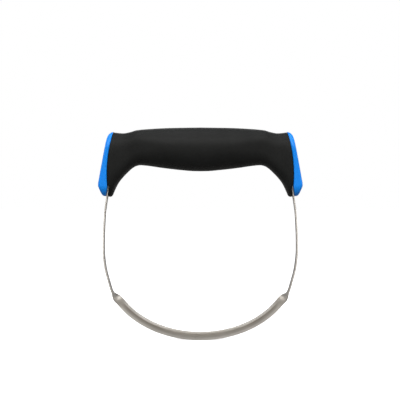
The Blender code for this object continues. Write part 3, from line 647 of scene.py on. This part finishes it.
# ---- end caps ----------------------------------------------------------------------------
def cap_inner(z):
    """Inner face: on the rim above, along the bare arm below."""
    on_rim = end_x(max(z, RIM_Z)) + GAP / 2
    if z >= RIM_Z:
        return on_rim
    return max(arm_curve(3)(z) + BAND_THICKNESS / 2 * CAP_ARM_SLANT + GAP, on_rim)


def cap_heights():
    """Heights of the rings: even rows, the contour's points, the corners and the rim."""
    heights = {z for z, _ in CAP_OUTER} | {RIM_Z}
    for k in range(CAP_ROWS + 1):
        heights.add(round(CAP_BOTTOM_Z + (CAP_TOP_Z - CAP_BOTTOM_Z) * k / CAP_ROWS, 4))
    for k in range(1, CAP_CORNER_ROWS + 1):
        a = math.pi / 2 * k / CAP_CORNER_ROWS
        heights.add(round(CAP_TOP_Z - CAP_TOP_CORNER * (1 - math.cos(a)), 4))
        heights.add(round(CAP_BOTTOM_Z + CAP_BOTTOM_CORNER * (1 - math.cos(a)), 4))
    keep = []
    for z in sorted(heights):
        if not keep or z - keep[-1] > CAP_MIN_ROW or z == CAP_TOP_Z:
            keep.append(z)
    return keep


def quarter(steps):
    return [math.pi / 2 * k / steps for k in range(steps + 1)]


def cap_ring(side, z, outer):
    """Horizontal section with all four corners rounded."""
    w = CAP_HALF_DEPTH
    w -= corner_inset(CAP_TOP_CORNER, CAP_TOP_Z - z)
    w -= corner_inset(CAP_BOTTOM_CORNER, z - CAP_BOTTOM_Z)
    inner = cap_inner(z)
    r = min(CAP_EDGE, 0.7 * (outer - inner))
    q = min(CAP_INNER_ROUND, 0.3 * (outer - inner), 0.3 * w)
    points = [(inner + q - q * math.sin(a), -w + q - q * math.cos(a))
              for a in quarter(CAP_INNER_STEPS)]
    points += [(inner + q - q * math.cos(a), w - q + q * math.sin(a))
               for a in quarter(CAP_INNER_STEPS)]
    edge = [(outer - r + r * math.sin(a), w - r + r * math.cos(a))
            for a in quarter(CAP_EDGE_STEPS)]
    points += edge + [(x, -y) for x, y in edge[::-1]]
    return [(side * x, y, z) for x, y in points]


def prong(side, y_side):
    """Snap prong: a bar along X with a small barb on its outer face."""
    root = end_x(PRONG_Z) + PRONG_ROOT
    tip = end_x(PRONG_Z) - PRONG_REACH
    inner_y, outer_y = PRONG_Y - PRONG_W / 2, PRONG_Y + PRONG_W / 2
    outline = [(root, inner_y), (tip, inner_y), (tip, PRONG_Y)]
    outline += [(tip + reach, outer_y + BARB_HEIGHT) for reach in BARB_PEAK]
    outline += [(tip + BARB_END, outer_y), (root, outer_y)]
    return loft("prong", [[(side * x, y_side * y, z) for x, y in outline]
                          for z in (PRONG_Z - PRONG_H / 2, PRONG_Z + PRONG_H / 2)])


def end_cap(name, side):
    outer_x = monotone(CAP_OUTER)
    ob = loft(name, [cap_ring(side, z, outer_x(z)) for z in cap_heights()])
    depths = (-1.5, GAP / 2 + SCREW_HEAD_H + 0.3)   # room for the screw heads
    for z in SCREW_HEIGHTS:
        boolean(ob, plug("relief", z, side, depths, circle(SCREW_HEAD_R + 0.35)))
    for y_side in (-1, 1):
        boolean(ob, prong(side, y_side), 'UNION')
    return ob


# ---- shader nodes ------------------------------------------------------------------------
class Nodes:
    """Small helper round the node tree of a material or world."""

    def __init__(self, owner):
        owner.use_nodes = True
        self.owner = owner
        self.tree = owner.node_tree

    def new(self, kind, **props):
        node = self.tree.nodes.new(kind)
        for key, value in props.items():
            setattr(node, key, value)
        return node

    def feed(self, socket, value):
        """Give a socket a number or an RGB colour, or link another socket to it."""
        if isinstance(value, tuple):
            socket.default_value = (*value, 1.0)
        elif isinstance(value, (int, float)):
            socket.default_value = value
        else:
            self.tree.links.new(value, socket)

    def surface(self, inputs):
        """Feed the Principled BSDF, and return the material."""
        bsdf = self.tree.nodes["Principled BSDF"]
        for name, value in inputs.items():
            self.feed(bsdf.inputs[name], value)
        return self.owner

    def scaled(self, vector, scale):
        mapping = self.new("ShaderNodeMapping")
        mapping.inputs["Scale"].default_value = scale
        self.feed(mapping.inputs["Vector"], vector)
        return mapping.outputs["Vector"]

    def coords(self, scale=(1, 1, 1)):
        return self.scaled(self.new("ShaderNodeTexCoord").outputs["Object"], scale)

    def grain(self, scale):
        node = self.new("ShaderNodeAttribute", attribute_name="grain")
        return self.scaled(node.outputs["Vector"], scale)

    def noise(self, vector, scale, detail=2.0, rough=0.5):
        node = self.new("ShaderNodeTexNoise")
        node.inputs["Scale"].default_value = scale
        node.inputs["Detail"].default_value = detail
        node.inputs["Roughness"].default_value = rough
        self.feed(node.inputs["Vector"], vector)
        return node.outputs["Fac"]

    def remap(self, value, over=(0.3, 0.7), to=(0.0, 1.0)):
        """Map one range to another; the default source range is where most noise lies."""
        node = self.new("ShaderNodeMapRange")
        node.inputs["From Min"].default_value, node.inputs["From Max"].default_value = over
        node.inputs["To Min"].default_value, node.inputs["To Max"].default_value = to
        self.feed(node.inputs["Value"], value)
        return node.outputs["Result"]

    def mix(self, factor, a, b):
        node = self.new("ShaderNodeMix", data_type='RGBA')
        self.feed(node.inputs[6], a)
        self.feed(node.inputs[7], b)
        self.feed(node.inputs[0], factor)
        return node.outputs[2]

    def math(self, operation, a, b):
        node = self.new("ShaderNodeMath", operation=operation)
        self.feed(node.inputs[0], a)
        self.feed(node.inputs[1], b)
        return node.outputs[0]

    def add(self, a, b):
        return self.math('ADD', a, b)

    def times(self, a, b):
        return self.math('MULTIPLY', a, b)

    def absolute(self, a):
        return self.math('ABSOLUTE', a, 0.0)

    def split(self, vector):
        node = self.new("ShaderNodeSeparateXYZ")
        self.feed(node.inputs["Vector"], vector)
        return node.outputs

    def bump(self, height, strength, distance):
        node = self.new("ShaderNodeBump")
        node.inputs["Strength"].default_value = strength
        node.inputs["Distance"].default_value = distance
        self.feed(node.inputs["Height"], height)
        return node.outputs["Normal"]


# ---- materials (lengths in metres) -------------------------------------------------------
def soft_black():
    """Matt soft-touch moulding: fine spark-eroded grain, faint handling sheen."""
    n = Nodes(bpy.data.materials.new("soft_black"))
    v = n.coords()
    fine = n.noise(v, scale=5200.0, rough=0.6)
    cells = n.new("ShaderNodeTexVoronoi", feature='F1')
    cells.inputs["Scale"].default_value = 2600.0
    n.feed(cells.inputs["Vector"], v)
    cloud = n.noise(v, scale=60.0, detail=3.0, rough=0.55)
    wear = n.noise(v, scale=22.0)
    colour = n.mix(n.remap(cloud), a=(0.0054, 0.0059, 0.0057), b=(0.0080, 0.0087, 0.0084))
    rough = n.remap(wear, to=(0.50, 0.60))
    rough = n.add(rough, n.remap(fine, to=(-0.04, 0.04)))
    height = n.add(n.times(cells.outputs["Distance"], 0.6), fine)
    return n.surface({
        "Base Color": colour,
        "Roughness": rough,
        "Specular IOR Level": 0.16,
        "Sheen Weight": 0.01,
        "Sheen Roughness": 0.4,
        "Normal": n.bump(height, strength=0.30, distance=0.00006),
    })


def blue_plastic():
    """Glossy-satin moulded blue with a faint eggshell and tiny scuffs."""
    n = Nodes(bpy.data.materials.new("cap_blue"))
    v = n.coords()
    cloud = n.noise(v, scale=45.0)
    colour = n.mix(n.remap(cloud), a=(0.0010, 0.228, 0.820), b=(0.0018, 0.246, 0.880))
    fine = n.noise(v, scale=1500.0)
    scuff = n.noise(n.coords(scale=(1.0, 6.0, 1.0)), scale=260.0, detail=4.0, rough=0.65)
    rough = n.add(n.remap(cloud, to=(0.36, 0.42)),
                  n.remap(scuff, over=(0.62, 0.75), to=(0.0, 0.12)))
    height = n.add(n.times(fine, 0.25),
                   n.times(n.noise(v, scale=90.0, detail=1.0), 0.3))
    return n.surface({
        "Base Color": colour,
        "Roughness": rough,
        "Specular IOR Level": 0.30,
        "Normal": n.bump(height, strength=0.10, distance=0.00003),
    })


def band_steel():
    """Stamped stainless sheet: grain, faint dullness, painted shade and painted highlights on the
    blades and edges.
    """
    blade_end = 0.058           # from the bottom centre, where the blade finish has faded out
    n = Nodes(bpy.data.materials.new("band_stainless"))
    streak = n.noise(n.grain(scale=(18.0, 4200.0, 4200.0)), scale=1.0, detail=3.0, rough=0.6)
    broad = n.noise(n.grain(scale=(30.0, 420.0, 420.0)), scale=1.0)
    cloud = n.noise(n.grain(scale=(90.0, 90.0, 90.0)), scale=1.0, detail=3.0, rough=0.55)
    colour = n.mix(n.remap(broad), a=(0.52, 0.500, 0.468), b=(0.63, 0.612, 0.580))
    colour = n.mix(n.remap(cloud, over=(0.45, 0.75), to=(0.0, 0.35)), a=colour,
                   b=(0.47, 0.445, 0.405))
    # across a blade, painted shade darkens the face below the upper rim and a painted highlight
    # brightens it along the lower edge
    place = n.split(n.grain(scale=(1.0, 1.0, 1.0)))
    blade = n.remap(n.absolute(place["X"]), over=(blade_end * 0.9, blade_end), to=(1.0, 0.0))
    dull = n.remap(place["Z"], over=(-0.0012, 0.0008), to=(1.0, 0.0))
    painted_lower_highlight = n.remap(place["Z"], over=(0.0002, 0.0017))
    # away from the middle the painted shade on the face is darker, and a painted highlight lies
    # on the upper rim
    away = n.absolute(place["X"])
    shade = n.remap(away, over=(0.012, 0.034), to=(0.68, 1.0))
    # painted shade: darker colour on the face below the upper rim, more so away from the middle
    colour = n.mix(n.times(blade, n.times(dull, shade)), a=colour, b=(0.29, 0.268, 0.234))
    # painted highlight along the upper rim of each blade
    rim = n.times(n.remap(place["Z"], over=(-0.00155, -0.00110), to=(1.0, 0.0)),
                  n.remap(away, over=(0.012, 0.030), to=(0.20, 1.0)))
    colour = n.mix(n.times(blade, rim), a=colour, b=(0.57, 0.555, 0.525))
    # painted highlight along the lower edge of each blade
    colour = n.mix(n.times(blade, painted_lower_highlight), a=colour, b=(0.90, 0.88, 0.84))
    # at the cold twisted roots of the blades the colour is darkened with painted shade, which
    # tones down the highlight there, and the roughness rises
    root = n.times(n.remap(away, over=(0.0500, 0.0550)),
                   n.remap(away, over=(0.0640, 0.0690), to=(1.0, 0.0)))
    colour = n.mix(n.times(root, 0.60), a=colour, b=(0.30, 0.28, 0.25))
    # painted highlight: the sheared edges of the arms, the faces looking along Y, get a lighter
    # colour
    facing = n.split(n.new("ShaderNodeNewGeometry").outputs["Normal"])
    painted_edge_highlight = n.times(n.remap(n.absolute(facing["Y"]), over=(0.55, 0.80)),
                      n.remap(away, over=(0.0640, 0.0700)))
    colour = n.mix(n.times(painted_edge_highlight, 0.45), a=colour, b=(0.80, 0.785, 0.75))
    rough = n.add(n.remap(cloud, to=(0.30, 0.40)), n.remap(streak, to=(-0.05, 0.08)))
    rough = n.add(rough, n.times(root, 0.20))
    return n.surface({
        "Base Color": colour,
        "Metallic": 1.0,
        "Roughness": rough,
        "Normal": n.bump(streak, strength=0.22, distance=0.00003),
    })


def core_plastic():
    """Dark grey glass-filled moulding, hidden: fibre mottling and dull skin."""
    n = Nodes(bpy.data.materials.new("core_grey"))
    cloud = n.noise(n.coords(), scale=120.0, detail=4.0, rough=0.6)
    fibre = n.noise(n.coords(scale=(0.25, 1.0, 1.0)), scale=1800.0, rough=0.6)
    return n.surface({
        "Base Color": n.mix(n.remap(cloud), a=(0.085, 0.086, 0.09), b=(0.12, 0.121, 0.127)),
        "Roughness": n.remap(fibre, to=(0.42, 0.58)),
        "Normal": n.bump(fibre, strength=0.2, distance=0.00005),
    })


def zinc_steel():
    """Zinc-plated screw: pale, slightly mottled passivated layer."""
    n = Nodes(bpy.data.materials.new("screw_zinc"))
    cloud = n.noise(n.coords(), scale=700.0, detail=3.0, rough=0.6)
    return n.surface({
        "Base Color": n.mix(n.remap(cloud), a=(0.58, 0.59, 0.60), b=(0.70, 0.69, 0.66)),
        "Metallic": 1.0,
        "Roughness": n.remap(cloud, to=(0.28, 0.42)),
        "Normal": n.bump(cloud, strength=0.12, distance=0.00004),
    })


def floor_paper():
    """Pale to the camera, but throws back less light than paper would, so that the matt black
    and the steel keep their contrast.  Clear from below."""
    n = Nodes(bpy.data.materials.new("floor_paper"))
    camera_ray = n.new("ShaderNodeLightPath").outputs["Is Camera Ray"]
    seen = n.mix(n.remap(n.noise(n.coords(), scale=3.0)),
                 a=(0.86, 0.86, 0.86), b=(0.88, 0.88, 0.88))
    colour = n.mix(camera_ray, a=(0.27, 0.265, 0.26), b=seen)
    # the glow rises from near the object to far out
    reach = n.new("ShaderNodeVectorMath", operation='LENGTH')
    n.feed(reach.inputs[0], n.coords())
    glow = n.remap(reach.outputs["Value"], over=(0.3, 2.6), to=(0.52, 1.0))
    n.surface({
        "Base Color": colour,
        "Roughness": 0.9,
        "Specular IOR Level": 0.0,
        "Emission Color": (1, 1, 1),
        "Emission Strength": n.times(camera_ray, glow),
    })
    geometry = n.new("ShaderNodeNewGeometry")
    clear = n.new("ShaderNodeBsdfTransparent")
    choose = n.new("ShaderNodeMixShader")
    n.feed(choose.inputs[0], geometry.outputs["Backfacing"])
    n.feed(choose.inputs[1], n.tree.nodes["Principled BSDF"].outputs["BSDF"])
    n.feed(choose.inputs[2], clear.outputs["BSDF"])
    n.feed(n.tree.nodes["Material Output"].inputs["Surface"], choose.outputs["Shader"])
    return n.owner


# ---- the pieces --------------------------------------------------------------------------
def finish_piece(ob, mat, sharp_angle, solid):
    """Shade a piece, give it its material and put it in place of its solid."""
    for face in ob.data.polygons:
        face.use_smooth = True
    ob.data.set_sharp_from_angle(angle=math.radians(sharp_angle))
    ob.data.materials.clear()
    ob.data.materials.append(mat)
    for face in ob.data.polygons:
        face.material_index = 0
    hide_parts(solid)
    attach(ob, "root")


black = soft_black()
blue = blue_plastic()
steel = band_steel()

finish_piece(sleeve(), black, sharp_angle=40, solid="soft_grip")
finish_piece(band(), steel, sharp_angle=40, solid="blade_band")
for cap_name, cap_solid, cap_side in (("left_cap", "left_end_cap", -1),
                                      ("right_cap", "right_end_cap", 1)):
    finish_piece(end_cap(cap_name, cap_side), blue, sharp_angle=32, solid=cap_solid)

core_grey = core_plastic()
zinc = zinc_steel()
for node_name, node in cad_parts.items():
    if node_name == "handle_core":
        node_material = core_grey
    elif node_name.endswith("_screw"):
        node_material = zinc
    else:
        continue
    for material_slot in node.material_slots:
        material_slot.material = node_material


# ---- stage, light and camera (metres) ----------------------------------------------------
FLOOR_HALF = 30
LIGHT_TARGET = (0, 0, 0.08)
# name, place, (width, height), watts
LIGHTS = [
    ("overhead", (0.0, -0.30, 1.6), (1.3, 2.2), 17.0),
    ("front_key", (0.0, -1.9, 1.45), (2.2, 1.1), 38.0),
    ("side_fill", (-2.1, 0.1, 0.85), (2.4, 1.8), 17.0),
    ("side_fill", (2.1, 0.1, 0.85), (2.4, 1.8), 17.0),
    ("rear_fill", (0.0, 2.1, 0.9), (2.0, 0.9), 6.0),
]
CAMERA_X = -0.0002046
CAMERA_DISTANCE = 2.3
CAMERA_Z = 0.08655
VIEW_WIDTH = 0.248          # width seen in the plane y = 0
SENSOR_WIDTH = 36.0         # mm


def add_floor():
    """Pale floor, level out to the horizon."""
    mesh = bpy.data.meshes.new("floor")
    h = FLOOR_HALF
    mesh.from_pydata([(-h, -h, 0), (h, -h, 0), (h, h, 0), (-h, h, 0)], [], [(0, 1, 2, 3)])
    ob = bpy.data.objects.new("floor", mesh)
    bpy.context.scene.collection.objects.link(ob)
    mesh.materials.append(floor_paper())


def add_light(name, place, size, power):
    light = bpy.data.lights.new(name, 'AREA')
    light.shape = 'RECTANGLE'
    light.size, light.size_y = size
    light.energy = power
    ob = bpy.data.objects.new(name, light)
    bpy.context.scene.collection.objects.link(ob)
    ob.location = place
    aim = Vector(LIGHT_TARGET) - Vector(place)
    ob.rotation_euler = aim.to_track_quat('-Z', 'Y').to_euler()


def add_world():
    """White to the camera; lights the piece warm from the front and grey from the rear."""
    world = bpy.data.worlds.new("studio")
    bpy.context.scene.world = world
    n = Nodes(world)
    direction = n.split(n.new("ShaderNodeTexCoord").outputs["Generated"])
    ramp = n.new("ShaderNodeValToRGB")
    n.feed(ramp.inputs["Fac"], n.remap(direction["Y"], over=(-1.0, 1.0)))
    front, rear = ramp.color_ramp.elements
    front.position = 0.0
    front.color = (0.37, 0.32, 0.265, 1.0)
    rear.position = 0.5
    rear.color = (0.20, 0.20, 0.21, 1.0)
    camera_ray = n.new("ShaderNodeLightPath").outputs["Is Camera Ray"]
    background = n.tree.nodes["Background"]
    n.feed(background.inputs["Color"],
           n.mix(camera_ray, a=ramp.outputs["Color"], b=(1.0, 1.0, 1.0)))
    background.inputs["Strength"].default_value = 1.0


def add_camera():
    """Level camera in front of the piece, looking along +Y."""
    data = bpy.data.cameras.new("camera")
    ob = bpy.data.objects.new("camera", data)
    bpy.context.scene.collection.objects.link(ob)
    ob.location = (CAMERA_X, -CAMERA_DISTANCE, CAMERA_Z)
    ob.rotation_euler = (math.pi / 2, 0.0, 0.0)
    data.sensor_width = SENSOR_WIDTH
    data.lens = SENSOR_WIDTH * CAMERA_DISTANCE / VIEW_WIDTH
    data.clip_end = 50.0
    bpy.context.scene.camera = ob


add_floor()
for light_row in LIGHTS:
    add_light(*light_row)
add_world()
add_camera()
bpy.context.scene.view_settings.view_transform = 'Standard'
bpy.context.scene.view_settings.look = 'None'

bpy.context.view_layer.update()
